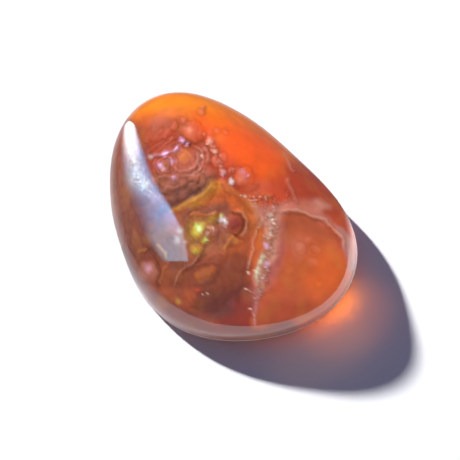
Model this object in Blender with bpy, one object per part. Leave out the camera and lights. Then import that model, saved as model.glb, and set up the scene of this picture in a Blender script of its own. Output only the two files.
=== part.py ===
"""Fire agate: one polished free-form cabochon of chalcedony, lying on its flat back.

Metres, +Z up. The origin is under the middle of the stone's box, on the surface it rests on.
+X points along the stone, from its high narrow end to its low broad end.
"""

import math

import bmesh
import bpy

# Driving dimensions
GIRDLE_RADIUS = 0.01106  # mean radius of the outline at the girdle, the stone's widest level
GIRDLE_HEIGHT = 0.00155  # the girdle above the flat back
DOME_HEIGHT = 0.01018  # the summit above the girdle
BACK_INSET = 0.00032  # how far the wall under the girdle tucks in to the back
SUMMIT_SHIFT = (-0.0045, -0.0010)  # the summit's place, from the middle of the outline
SHIFT_POWER = 2.9  # how late the levels start to move over towards the summit

# How the outline departs from a circle, as shares of its mean radius
OVAL = 0.126  # longer along X than across
EGG = -0.034  # broader at the +X end
LEAN = 0.036  # the egg turned a little, so that its two long sides differ
CORNERS = 0.012  # slightly squared between the ends and the sides
WAVES_AT_SUMMIT = 0.88  # how much of these waves is left in the levels near the summit

# The dome's profile, as a Bezier curve from the girdle to the summit.
# Each point is a share of the reach from the summit's axis and a share of the dome's height:
# a short upright shoulder, a long even slope, and a round crown, whose point counts twice.
PROFILE = ((1.0, 0.0), (1.0, 0.266), (0.701, 0.609), (0.426, 1.0), (0.426, 1.0), (0.0, 1.0))

# Fineness of the surface
SEGMENTS = 96
DOME_ROWS = 24
WALL_ROWS = 4
BACK_ROWS = 4
SHARP_EDGE = math.radians(35)

# Finish
BODY_COLOUR = (0.45, 0.13, 0.06, 1.0)
ROUGHNESS = 0.08
REFRACTIVE_INDEX = 1.54


def clear_scene():
    for obj in list(bpy.data.objects):
        bpy.data.objects.remove(obj, do_unlink=True)


def level_radius(angle, reach):
    """A level's radius at an angle: a circle with two-fold, three-fold and four-fold waves,
    which fade a little towards the summit."""
    waves = OVAL * math.cos(2 * angle) + EGG * math.cos(3 * angle) + LEAN * math.sin(3 * angle)
    waves += CORNERS * math.sin(4 * angle)
    kept = WAVES_AT_SUMMIT + (1 - WAVES_AT_SUMMIT) * reach
    return reach * GIRDLE_RADIUS * (1 + kept * waves)


def profile_point(t):
    """Reach and rise on the Bezier profile, from the girdle at t = 0 to the summit at t = 1."""
    degree = len(PROFILE) - 1
    weights = [math.comb(degree, i) * t**i * (1 - t) ** (degree - i) for i in range(degree + 1)]
    reach = sum(weight * point[0] for weight, point in zip(weights, PROFILE))
    rise = sum(weight * point[1] for weight, point in zip(weights, PROFILE))
    return reach, rise


def row_shape(row):
    """Reach, height and pull towards the summit of one ring of the surface, counted from the top."""
    if row <= DOME_ROWS:
        reach, rise = profile_point(1 - row / DOME_ROWS)
        return reach, GIRDLE_HEIGHT + DOME_HEIGHT * rise, 1 - reach**SHIFT_POWER
    inset = BACK_INSET / GIRDLE_RADIUS
    down = (row - DOME_ROWS) / WALL_ROWS
    if down <= 1:
        return 1 - inset * down**2, GIRDLE_HEIGHT * (1 - down), 0.0
    across = (row - DOME_ROWS - WALL_ROWS) / BACK_ROWS
    return (1 - inset) * (1 - across), 0.0, 0.0


def shape_stone(bm):
    """A sphere whose rings are carried to the stone's dome, under-wall and flat back."""
    rows = DOME_ROWS + WALL_ROWS + BACK_ROWS
    bmesh.ops.create_uvsphere(bm, u_segments=SEGMENTS, v_segments=rows, radius=1.0)
    for vert in bm.verts:
        angle = math.atan2(vert.co.y, vert.co.x)
        row = round(rows * math.acos(max(-1.0, min(1.0, vert.co.z))) / math.pi)
        reach, height, pull = row_shape(row)
        radius = level_radius(angle, reach)
        vert.co.x = radius * math.cos(angle) + SUMMIT_SHIFT[0] * pull
        vert.co.y = radius * math.sin(angle) + SUMMIT_SHIFT[1] * pull
        vert.co.z = height


def centre_on_origin(bm):
    """Moves the shape sideways until the middle of its box is over the origin."""
    for axis in (0, 1):
        values = [vert.co[axis] for vert in bm.verts]
        middle = (min(values) + max(values)) / 2
        for vert in bm.verts:
            vert.co[axis] -= middle


def polished_chalcedony():
    material = bpy.data.materials.new("polished_chalcedony")
    material.use_nodes = True
    shader = material.node_tree.nodes["Principled BSDF"]
    shader.inputs["Base Color"].default_value = BODY_COLOUR
    shader.inputs["Roughness"].default_value = ROUGHNESS
    shader.inputs["Metallic"].default_value = 0.0
    shader.inputs["IOR"].default_value = REFRACTIVE_INDEX
    material.diffuse_color = BODY_COLOUR
    return material


def make_stone(collection):
    mesh = bpy.data.meshes.new("fire_agate")
    bm = bmesh.new()
    shape_stone(bm)
    centre_on_origin(bm)
    bmesh.ops.recalc_face_normals(bm, faces=bm.faces)
    bm.to_mesh(mesh)
    bm.free()
    mesh.materials.append(polished_chalcedony())
    mesh.shade_smooth()
    mesh.set_sharp_from_angle(angle=SHARP_EDGE)
    collection.objects.link(bpy.data.objects.new("fire_agate", mesh))


def main():
    clear_scene()
    collection = bpy.data.collections.new("Fire agate")
    bpy.context.scene.collection.children.link(collection)
    make_stone(collection)


main()
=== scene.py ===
# Fire agate: a polished cabochon of clear chalcedony over its bumpy, many-coloured growth layer.
# The stone's sizes are in millimetres here and become metres when a mesh is made.
import math
import bpy
import numpy as np
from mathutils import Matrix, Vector


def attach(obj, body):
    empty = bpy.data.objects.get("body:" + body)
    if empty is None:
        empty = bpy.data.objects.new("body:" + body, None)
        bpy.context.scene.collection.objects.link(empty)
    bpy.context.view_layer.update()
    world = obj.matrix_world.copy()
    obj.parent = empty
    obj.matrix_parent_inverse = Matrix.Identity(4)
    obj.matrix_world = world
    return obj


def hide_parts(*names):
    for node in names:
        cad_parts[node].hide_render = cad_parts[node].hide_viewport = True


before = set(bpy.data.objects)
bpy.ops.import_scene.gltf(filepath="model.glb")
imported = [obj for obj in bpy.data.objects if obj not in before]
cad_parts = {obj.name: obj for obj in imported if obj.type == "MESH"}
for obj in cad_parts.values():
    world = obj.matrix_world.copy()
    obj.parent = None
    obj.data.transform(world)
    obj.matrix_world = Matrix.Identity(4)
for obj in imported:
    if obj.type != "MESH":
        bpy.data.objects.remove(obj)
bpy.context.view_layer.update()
metresPerMm = 0.001
print("frame loaded")


def addObject(name, data):
    # a new object in the scene
    obj = bpy.data.objects.new(name, data)
    bpy.context.scene.collection.objects.link(obj)
    return obj


# the camera: the photograph's view, and how a pixel of its 460 x 460 frame becomes a ray
camera = {
    "azimuth": 52.0,  # degrees, 0 looks along +Y
    "elevation": 60.0,
    "distance": 174.5,
    "aim": (0.11, 0.88, 0.0),
    "lens": 150.0,
    "sensor": 36.0,
    "frame": 460,
    "clip": (0.01, 10.0),
}
pixelsPerUnit = camera["frame"] * camera["lens"] / camera["sensor"]
frameMiddle = camera["frame"] / 2


def cameraAxes():
    # back, right and up of the camera, from its azimuth and elevation
    azimuth, elevation = math.radians(camera["azimuth"]), math.radians(camera["elevation"])
    level = Vector((math.sin(azimuth), -math.cos(azimuth), 0.0))
    back = level * math.cos(elevation) + Vector((0.0, 0.0, math.sin(elevation)))
    right = Vector((math.cos(azimuth), math.sin(azimuth), 0.0))
    return back, right, back.cross(right)


def cameraPlace():
    # the aim, and from there the distance backwards
    return Vector(camera["aim"]) + cameraAxes()[0] * camera["distance"]


def pixelRay(px, py):
    # the direction in which the camera sees a pixel
    back, right, up = cameraAxes()
    across, downwards = (px - frameMiddle) / pixelsPerUnit, (py - frameMiddle) / pixelsPerUnit
    return (right * across - up * downwards - back).normalized()


def makeCamera():
    # a camera whose Z axis points back along the view
    data = bpy.data.cameras.new("camera")
    data.lens, data.sensor_width = camera["lens"], camera["sensor"]
    data.clip_start, data.clip_end = camera["clip"]
    obj = addObject("camera", data)
    obj.location = cameraPlace() * metresPerMm
    obj.rotation_euler = cameraAxes()[0].to_track_quat("Z", "Y").to_euler()
    bpy.context.scene.camera = obj


makeCamera()
print("camera placed")


# the polished form, by the same formula and values as the CAD solid
form = {
    "girdleRadius": 11.06,
    "girdleHeight": 1.55,
    "domeHeight": 10.18,
    "backInset": 0.32,
    "summitShift": (-4.5, -1.0),
    "shiftPower": 2.9,
    "oval": 0.126,
    "egg": -0.034,
    "lean": 0.036,
    "corners": 0.012,
    "wavesAtSummit": 0.88,
    "profile": ((1.0, 0.0), (1.0, 0.266), (0.701, 0.609), (0.426, 1.0), (0.426, 1.0), (0.0, 1.0)),
}


def formPoints(angle, down):
    # angle goes round the stone; down is 0 at the summit, 1 at the girdle, 2 at the back's edge, 3 at its
    # middle. Dome: a Bezier profile gives reach and height. Under-wall: a parabola tucks it in. Back: flat.
    rise = 1 - np.clip(down, 0, 1)
    degree = len(form["profile"]) - 1
    weights = [math.comb(degree, i) * rise**i * (1 - rise) ** (degree - i) for i in range(degree + 1)]
    reach = sum(weight * point[0] for weight, point in zip(weights, form["profile"]))
    height = sum(weight * point[1] for weight, point in zip(weights, form["profile"])) * form["domeHeight"]
    pull = 1 - reach ** form["shiftPower"]
    tuck, across = np.clip(down - 1, 0, 1), np.clip(down - 2, 0, 1)
    reach = reach * (1 - form["backInset"] / form["girdleRadius"] * tuck**2) * (1 - across)
    height = height + form["girdleHeight"] * (1 - tuck)
    waves = form["oval"] * np.cos(2 * angle) + form["egg"] * np.cos(3 * angle)
    waves = waves + form["lean"] * np.sin(3 * angle) + form["corners"] * np.sin(4 * angle)
    kept = form["wavesAtSummit"] + (1 - form["wavesAtSummit"]) * reach
    radius = reach * form["girdleRadius"] * (1 + kept * waves)
    x = radius * np.cos(angle) + form["summitShift"][0] * pull
    y = radius * np.sin(angle) + form["summitShift"][1] * pull
    return np.stack([x, y, height], axis=-1)


girdleLine = formPoints(np.linspace(0, 2 * np.pi, 3601), np.ones(3601))
formMiddle = (girdleLine.max(axis=0) + girdleLine.min(axis=0)) / 2 * (1, 1, 0)


def stoneSurface(angle, down):
    # the form with the middle of its box over the origin
    return formPoints(angle, down) - formMiddle


def stoneNormal(angle, down, step=0.001):
    # outward normal: the cross product of the surface's two differences
    down = np.maximum(down, step)
    alongDown = stoneSurface(angle, down + step) - stoneSurface(angle, down - step)
    alongAngle = stoneSurface(angle + step, down) - stoneSurface(angle - step, down)
    normal = np.cross(alongDown, alongAngle)
    return normal / np.linalg.norm(normal, axis=-1, keepdims=True)


def closedMesh(name, rings, top, bottom, material):
    # a closed skin: rings of points from the top down, joined by quads, with a fan to each pole
    rows, columns = rings.shape[:2]
    points = np.vstack([rings.reshape(-1, 3), top, bottom]) * metresPerMm
    row, column = np.meshgrid(np.arange(rows - 1) * columns, np.arange(columns), indexing="ij")
    beside = (column + 1) % columns
    corners = [row + column, row + columns + column, row + columns + beside, row + beside]
    quads = np.stack(corners, axis=-1).reshape(-1, 4)
    around = np.arange(columns)
    after = (around + 1) % columns
    lastRing = (rows - 1) * columns
    topFan = np.stack([np.full(columns, rows * columns), around, after], axis=-1)
    bottomFan = np.stack([np.full(columns, rows * columns + 1), lastRing + after, lastRing + around], axis=-1)
    mesh = bpy.data.meshes.new(name)
    mesh.from_pydata(points.tolist(), [], quads.tolist() + topFan.tolist() + bottomFan.tolist())
    mesh.shade_smooth()
    mesh.materials.append(material)
    return addObject(name, mesh)


# what the camera sees of a point: its pixel, how squarely the skin faces it, and the refracted way in
optics = {"index": 1.54}


def throughSkin(points, normals):
    # Snell's law at each skin point: the part of the ray along the skin shrinks by the index.
    # Facing is 1 where the skin is square to the ray, 0 at the silhouette and below 0 on the far side.
    back, right, up = (np.array(axis) for axis in cameraAxes())
    offset = points - np.array(cameraPlace())
    depth = -(offset @ back)
    x = frameMiddle + pixelsPerUnit * (offset @ right) / depth
    y = frameMiddle - pixelsPerUnit * (offset @ up) / depth
    ray = offset / np.linalg.norm(offset, axis=-1, keepdims=True)
    facing = -(ray * normals).sum(axis=-1)
    sliding = (ray + normals * facing[..., None]) / optics["index"]
    inward = sliding - normals * np.sqrt(1 - (sliding**2).sum(axis=-1, keepdims=True))
    return x, y, facing, inward


def mirrorShare(facing, index=optics["index"]):
    # Fresnel's law for clear stone: the share of light that the skin mirrors
    facing = np.clip(facing, 0, 1)
    g = np.sqrt(index**2 - 1 + facing**2)
    side = (g - facing) / (g + facing)
    return side**2 / 2 * (1 + ((facing * (g + facing) - 1) / (facing * (g - facing) + 1)) ** 2)


# patterns in numpy: soft steps, chains of points, filled outlines, clouds and cells
def softStep(low, high, value):
    # 0 below low, 1 above high, and an S-curve between
    share = np.clip((value - low) / (high - low), 0, 1)
    return share * share * (3 - 2 * share)


def rounded(way, closed=False, steps=5):
    # a Catmull-Rom curve through a way, which is text of pixels: x y x y and so on
    points = np.array(way.split(), dtype=float).reshape(-1, 2)
    if closed:
        points = np.vstack([points[-1], points, points[:2]])
    else:
        points = np.vstack([2 * points[0] - points[1], points, 2 * points[-1] - points[-2]])
    t = (np.arange(steps) / steps)[:, None, None]
    before, start, end, after = points[:-3], points[1:-2], points[2:-1], points[3:]
    curve = 2 * start + (end - before) * t + (2 * before - 5 * start + 4 * end - after) * t**2
    curve = (curve + (3 * start - before - 3 * end + after) * t**3) / 2
    curve = curve.transpose(1, 0, 2).reshape(-1, 2)
    return np.vstack([curve, curve[:1] if closed else points[-2:-1]])


def evenly(way, shares):
    # the points of a rounded way at some shares of its length
    chain = rounded(way)
    length = np.concatenate([[0], np.cumsum(np.linalg.norm(np.diff(chain, axis=0), axis=1))])
    return np.stack([np.interp(shares, length / length[-1], chain[:, i]) for i in (0, 1)], axis=-1)


def chainDistance(x, y, chain):
    # distance to a chain of straight stretches, and how far along it the nearest point is, from 0 to 1
    lengths = np.linalg.norm(np.diff(chain, axis=0), axis=1)
    starts = np.concatenate([[0], np.cumsum(lengths)])
    best, along = np.full(x.shape, np.inf), np.zeros(x.shape)
    for (startX, startY), (endX, endY), length, start in zip(chain[:-1], chain[1:], lengths, starts):
        dx, dy = endX - startX, endY - startY
        share = np.clip(((x - startX) * dx + (y - startY) * dy) / max(length**2, 1e-9), 0, 1)
        distance = np.hypot(x - startX - share * dx, y - startY - share * dy)
        nearer = distance < best
        best = np.where(nearer, distance, best)
        along = np.where(nearer, (start + share * length) / starts[-1], along)
    return best, along


def filled(x, y, outline, soft):
    # 1 inside a closed curve and 0 outside, with a soft edge: the even-odd rule and the distance to the edge
    chain = rounded(outline, closed=True)
    inside = np.zeros(x.shape, dtype=bool)
    for (startX, startY), (endX, endY) in zip(chain[:-1], chain[1:]):
        if startY != endY:
            crosses = (startY > y) != (endY > y)
            inside ^= crosses & (x < (endX - startX) * (y - startY) / (endY - startY) + startX)
    distance = chainDistance(x, y, chain)[0]
    return softStep(-soft, soft, np.where(inside, distance, -distance))


hashing = {"factors": (73856093, 19349663, 83492791, 15485863), "mix": 1274126177, "mask": 0xFFFFFFFF}


def hashed(cells, salt):
    # a repeatable number from 0 to 1 for each whole-number cell
    factors = hashing["factors"]
    value = cells[..., 0] * factors[0] ^ cells[..., 1] * factors[1] ^ cells[..., 2] * factors[2]
    value = (value ^ salt * factors[3]) & hashing["mask"]
    value = ((value ^ value >> 13) * hashing["mix"]) & hashing["mask"]
    return ((value ^ value >> 16) & 0xFFFFFF) / float(0x1000000)


def grains(points, size, salt):
    # cubes of space with a jittered seed each: how far the two nearest seeds are, and the nearest's number
    scaled = points / size
    home = np.floor(scaled).astype(np.int64)
    near, second, number = np.full(len(points), 9.0), np.full(len(points), 9.0), np.zeros(len(points))
    for offset in np.ndindex(3, 3, 3):
        cell = home + np.array(offset) - 1
        seed = cell + np.stack([hashed(cell, salt + i) for i in range(3)], axis=-1)
        distance = np.sqrt(((scaled - seed) ** 2).sum(axis=1))
        closer = distance < near
        second = np.where(closer, near, np.minimum(second, distance))
        number = np.where(closer, hashed(cell, salt + 7), number)
        near = np.where(closer, distance, near)
    return near, second, number


def cloud(points, size, salt, octaves=3):
    # value noise: smooth blends of hashed corner values, halved in size and weight for each octave
    total, weight = np.zeros(len(points)), 0.0
    for octave in range(octaves):
        scaled = points / size * 2**octave
        home = np.floor(scaled).astype(np.int64)
        part = scaled - home
        part = part * part * (3 - 2 * part)
        value = np.zeros(len(points))
        for corner in np.ndindex(2, 2, 2):
            share = np.prod(np.where(np.array(corner) == 1, part, 1 - part), axis=1)
            value += share * hashed(home + np.array(corner), salt + octave)
        total += value / 2**octave
        weight += 1 / 2**octave
    return total / weight


# the stone's colours, as red, green and blue of 0 to 255 on a screen
inks = {
    "amber": (252, 140, 26), "orange": (236, 117, 28), "flame": (242, 97, 36), "ember": (206, 82, 50),
    "brick": (190, 78, 56), "oxblood": (150, 66, 56), "lobe": (200, 98, 62), "tangerine": (222, 104, 48),
    "rust": (188, 90, 66), "cocoa": (166, 98, 76), "walnut": (142, 86, 72), "umber": (122, 58, 52),
    "chestnut": (164, 84, 58), "copper": (204, 100, 52), "gold": (206, 126, 66), "ochre": (208, 144, 54),
    "violet": (184, 128, 140), "lilac": (216, 172, 214), "pearl": (234, 214, 204), "veil": (220, 160, 136),
    "haze": (204, 138, 122), "lime": (190, 230, 128), "lemon": (226, 214, 70), "mint": (206, 224, 190),
    "mauve": (184, 116, 116), "garnet": (148, 54, 42), "bark": (140, 70, 50), "maroon": (172, 66, 40),
    "russet": (186, 78, 46), "dusk": (112, 56, 50), "smoke": (128, 72, 62), "olive": (160, 100, 58),
    "rosy": (226, 118, 92), "saddle": (158, 104, 84), "sandstone": (190, 104, 50), "ice": (216, 228, 236),
    "ash": (184, 128, 122), "moss": (158, 134, 48), "sienna": (174, 86, 56), "coral": (216, 108, 76),
    "sand": (222, 168, 84), "button": (224, 134, 74),
}


def ink(name):
    # a screen colour in linear light, by the sRGB curve
    share = np.array(inks[name]) / 255
    return np.where(share < 0.04045, share / 12.92, ((share + 0.055) / 1.055) ** 2.4)


def tinted(colours, name, mask):
    # the colours, moved towards an ink by a mask from 0 to 1
    return colours + (ink(name) - colours) * np.clip(mask, 0, 1)[:, None]


# broad colour fields of the growth layer: colour, softness in pixels, strength and outline
fields = {
    # the amber crown, orange shoulder and flame: the stone's own amber and orange, painted brighter on this
    # side away from the sun, where light shines through the thin stone
    "amber crown": ("amber", 9, 1, "112 124 128 96 160 78 196 78 230 90 268 116 302 150 286 150 256 134 "
        "232 128 214 126 204 114 185 110 160 115 140 121"),
    "orange under the crown": ("orange", 6, 0.75, "134 118 150 114 186 110 204 114 210 128 196 126 178 120 "
        "160 128 140 130"),
    "orange shoulder": ("orange", 9, 0.9, "206 112 230 112 260 126 288 146 296 160 284 164 262 150 236 140 "
        "214 130"),
    "flame": ("flame", 12, 1, "196 118 222 126 250 132 278 150 288 172 280 188 258 196 244 192 236 170 216 "
        "150 198 136"),
    "ember": ("ember", 9, 0.9, "246 186 266 180 284 176 294 186 300 200 284 206 262 206"),
    "dark red flank": ("maroon", 9, 0.9, "292 160 318 172 346 206 352 236 336 236 316 216 298 206 286 190 "
        "286 170"),
    "red by the band": ("russet", 6, 0.8, "332 214 342 222 348 236 340 234 330 224"),
    "rust crown": ("russet", 9, 1, "118 126 140 122 166 120 186 122 206 138 216 156 219 172 210 186 186 "
        "196 160 204 126 204 108 170"),
    "brown slope": ("cocoa", 8, 1, "120 176 150 172 176 174 206 172 216 178 206 192 184 205 160 216 140 "
        "222 116 214"),
    # painted shade: the dark band just above the ridge, under the brown slope
    "shade under the slope": ("walnut", 7, 0.8, "176 188 206 183 211 186 196 198 176 210 160 212"),
    "left flank": ("cocoa", 10, 0.9, "96 140 118 136 128 180 144 226 158 262 150 290 124 280 100 220"),
    "window": ("copper", 6, 0.8, "168 214 186 204 204 194 217 180 230 190 246 202 257 216 257 236 250 262 "
        "236 276 206 268 180 254 164 236"),
    "window's shade": ("saddle", 7, 0.55, "176 214 200 208 230 212 232 240 222 262 196 262 178 248"),
    "ridge's slope": ("ochre", 3, 0.7, "184 207 198 198 209 190 217 181 221 190 212 197 200 205 190 209"),
    "orange slope": ("copper", 4, 0.7, "204 200 216 190 226 192 232 204 222 206 208 206"),
    "channel": ("copper", 5, 1, "226 186 240 196 251 206 257 222 256 238 251 258 246 280 238 284 234 262 "
        "242 246 248 228 243 212 232 206 226 198"),
    "shade in the window": ("walnut", 4, 0.7, "188 212 204 206 216 202 226 202 232 209 226 214 206 214 192 "
        "216"),
    "lower slope": ("chestnut", 9, 1, "134 244 160 250 196 256 226 258 244 268 250 290 240 306 214 316 186 "
        "306 156 300 138 280"),
    "channel's shade": ("chestnut", 4, 0.6, "244 222 256 222 257 240 250 256 242 256 244 240"),
    "orange patch": ("copper", 5, 0.6, "230 254 242 253 243 264 232 265"),
    "dark foot": ("umber", 9, 0.95, "186 300 206 294 226 284 246 280 251 300 240 312 214 318 192 314"),
    "brown by the foot": ("copper", 6, 0.5, "184 292 198 288 204 296 196 304 186 302"),
    "red foot": ("garnet", 4, 1, "220 318 230 312 252 311 262 320 260 330 226 330"),
    "beside the crack": ("copper", 4, 0.9, "258 226 265 228 264 244 260 258 255 272 250 272 253 250"),
    "lobe": ("lobe", 4, 1, "276 220 290 213 306 213 322 223 335 236 347 254 352 280 338 304 310 322 276 "
        "332 256 330 254 312 264 290 276 268 281 244"),
    "lobe's dark top": ("sienna", 8, 1, "282 218 300 214 320 224 334 240 320 238 300 232 286 240"),
    # the lobe's bright side: the stone's orange with painted light, brighter on its side away from the sun,
    # where light gathers in the lobe
    "lobe's bright side": ("tangerine", 14, 0.9, "300 250 326 248 348 262 342 290 316 296 298 276"),
    "lobe's foot": ("garnet", 12, 0.55, "262 300 290 296 312 306 290 324 262 328"),
    "crown's shade": ("garnet", 7, 0.4, "140 138 160 134 176 136 184 144 166 150 148 154 140 148"),
    "glow over the beads": ("coral", 6, 0.5, "244 184 262 180 272 188 260 198 246 196"),
    "lobe's middle": ("sienna", 10, 0.6, "282 236 304 232 318 246 312 272 296 282 280 272"),
    "wall": ("ember", 2, 1, "196 336 216 338 240 338.5 270 336 300 330 310 340 240 352 190 345"),
    "crown's warmth": ("sienna", 6, 0.5, "138 122 156 117 172 118 180 124 174 134 152 138 140 134"),
    "eye's halo": ("moss", 6, 0.5, "188 220 204 216 218 216 216 224 206 234 208 244 196 244 188 236"),
    "dome's bloom": ("haze", 7, 0.4, "176 160 196 150 206 160 202 174 186 176 174 172"),
    "low left": ("smoke", 7, 0.6, "108 218 126 214 138 240 150 262 140 276 118 262"),
    "lower shade": ("bark", 8, 0.7, "166 262 190 258 214 262 232 270 230 292 200 298 172 292"),
    "lobe's left": ("russet", 6, 0.6, "280 256 292 256 294 276 284 292 272 290"),
    "veil, left": ("haze", 6, 0.75, "256 208 272 203 286 202 284 213 268 226 260 222"),
    "veil": ("haze", 5, 0.45, "274 206 290 200 308 199 324 202 330 208 322 214 330 224 322 222 306 212 290 "
        "211 276 214"),
    "veil's bright patch": ("veil", 4, 0.45, "312 204 320 201 328 203 324 209 314 211"),
    "veil's corner": ("ash", 3, 0.9, "335 226 343 229 350 237 355 250 355 266 347.5 268 346.5 254 343 243 "
        "339 234"),
    "mauve shadow of the strip": ("mauve", 5, 0.5, "274 222 284 224 285 240 281 256 277 276 268 288 262 "
        "282 268 262 272 240"),
    "strip": ("veil", 3, 0.75, "268 212 277 213 279 226 277 246 272 262 266 276 262 290 257 294 254 280 "
        "257 264 262 248 264 230"),
    "strip's foot": ("mauve", 3, 0.7, "254 290 262 290 259 302 254 312 251 304"),
    "strip's left": ("copper", 2, 0.8, "259 228 263 232 262 246 258 258 254 270 251 272 254 256 256 242"),
    "low channel": ("bark", 5, 0.8, "232 256 244 254 250 262 248 282 240 292 226 290 224 274"),
    "foot's shade": ("dusk", 7, 0.8, "196 296 220 288 244 290 250 304 236 312 216 318 200 312"),
    "under the band": ("smoke", 5, 0.9, "120 250 132 262 146 278 160 292 180 306 204 318 234 327 262 328 "
        "290 323 300 340 234 350 160 330 120 290"),
    "under the streak": ("smoke", 7, 0.85, "120 124 134 122 142 138 150 156 148 190 160 206 172 226 188 "
        "262 164 264 142 244 130 200"),
    "by the foot crack": ("chestnut", 3, 0.7, "240 291 250 289 253 298 247 305 240 301"),
    "right of the dark foot": ("garnet", 4, 0.6, "232 298 240 298 248 304 246 312 234 312"),
    "lobe's cloud": ("haze", 6, 0.2, "290 240 302 238 306 250 300 262 290 256"),
    "lobe's cloud 2": ("gold", 7, 0.15, "282 262 294 260 300 276 290 286 281 278"),
}

# round growths: x, y and radius in pixels, lift in millimetres, the colour of the top and how strong it is
bumps = {
    "ringed dome": (174, 168, 27, 0.34, "rust", 0.3), "orange button": (184, 157, 9, 0.42, "button", 0.8),
    "button's shoulder": (184, 158, 15, 0.36, "rust", 0.3),
    "violet button": (161, 166, 9, 0.42, "violet", 0.5), "rose button": (172, 162, 6, 0.42, "violet", 0.6),
    "ring between": (166, 164, 4, 0.42, "gold", 0.4), "scale 1": (168, 187, 9, 0.36, "cocoa", 0.3),
    "scale 2": (182, 184, 8, 0.33, "cocoa", 0.2), "scale 3": (195, 178, 8, 0.3, "rust", 0.2),
    "scale 4": (184, 195, 8, 0.26, "walnut", 0.3), "scale 5": (152, 184, 8, 0.28, "cocoa", 0.2),
    "scale 6": (204, 184, 7, 0.22, "walnut", 0.3), "scale 7": (173, 178, 7, 0.38, "violet", 0.3),
    "scale 8": (194, 188, 7, 0.27, "cocoa", 0.2), "scale 9": (171, 198, 8, 0.24, "walnut", 0.2),
    "large bubble": (191, 131, 12, 0.3, "coral", 0.7),
    "large bubble's right": (201, 133, 8, 0.2, "flame", 0.1),
    "violet wedge": (182, 141, 4.5, 0.4, "lilac", 0.6), "violet bead": (188, 144, 3.5, 0.4, "lilac", 0.4),
    "small bubble": (183, 119, 4.5, 0.18, "rosy", 0.6), "rose bubble": (174, 126, 5, 0.18, "rosy", 0.4),
    "crown bubble": (202.5, 107, 3.6, 0.14, "rosy", 0.7),
    "crown bubble 2": (201.5, 112, 3.4, 0.12, "rosy", 0.6), "long bubble": (210, 141, 6, 0.18, "rosy", 0.8),
    "long bubble's foot": (212, 147, 5, 0.15, "rosy", 0.5),
    "white bubble": (214.5, 152, 4.5, 0.2, "veil", 0.6), "row bubble 1": (203, 149, 4, 0.15, "haze", 0.4),
    "row bubble 2": (201, 156, 4, 0.15, "haze", 0.5), "row bubble 3": (208, 161, 4, 0.15, "haze", 0.4),
    "row bubble 4": (216, 162, 6, 0.16, "rosy", 0.6), "row bubble 5": (217, 131, 3.4, 0.14, "rosy", 0.5),
    "row bubble 6": (226, 132, 3.2, 0.12, "rosy", 0.5), "row bubble 7": (223, 157, 5, 0.13, "rosy", 0.5),
    "row bubble 8": (229, 170, 4, 0.16, "rosy", 0.6), "white bead": (222, 172, 4.5, 0.24, "veil", 0.6),
    "bright bead": (232, 182, 5, 0.24, "veil", 0.8), "lilac bump": (243, 177, 12, 0.2, "coral", 0.8),
    "green eye": (203, 229, 17, 0.34, "gold", 0.3), "eye's neighbour": (213, 231, 6, 0.4, "haze", 0.35),
    "knob": (235.5, 223, 11, 0.42, "oxblood", 1), "pearl slot": (236, 242, 6, 0.22, "sand", 0.35),
    "window bump": (196, 217, 9, 0.26, "gold", 0.4), "yellow bump": (196, 249, 8, 0.34, "moss", 0.6),
    "rib by the knob": (229, 242, 5, 0.26, "gold", 0.3),
    "great brown bump": (206, 286, 29, 0.24, "chestnut", 0.12),
    "left brown bump": (169, 277, 15, 0.24, "olive", 0.12),
    "middle brown bump": (184, 262, 13, 0.22, "olive", 0.12),
    "upper brown bump": (216, 257, 14, 0.18, "chestnut", 0.12),
    "right brown bump": (234, 266, 14, 0.1, "chestnut", 0.12),
    "rose bump": (149, 272, 13, 0.38, "haze", 0.4), "foot bump 1": (192, 298, 13, 0.34, "copper", 0.14),
    "foot bump 3": (172, 296, 12, 0.28, "chestnut", 0.12),
    "flame swell": (250, 142, 46, 0.28, "flame", 0.1), "lobe swell": (310, 266, 40, 0.3, "tangerine", 0.1),
}

# rings of colour round a centre: x, y, first and last radius in pixels, spacing, strength
ringSets = {
    "orange button": (184, 158, 8, 22, 4.4, 0.1),
    "violet button": (166, 164, 2, 14, 3.6, 0.16),
    "ringed dome": (174, 168, 18, 32, 5, 0.1),
    "green eye": (202, 229, 7, 19, 3.8, 0.09),
    "eye's neighbour": (212, 230, 1, 6, 2.4, 0.18),
    "great brown bump": (206, 286, 12, 28, 7, 0.05),
    "lobe ring 1": (301, 248, 2, 9, 4.5, 0.06),
    "lobe ring 2": (314, 250, 2, 9, 4.5, 0.06),
    "rose bump": (149, 270, 3, 13, 3.6, 0.1),
}

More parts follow.
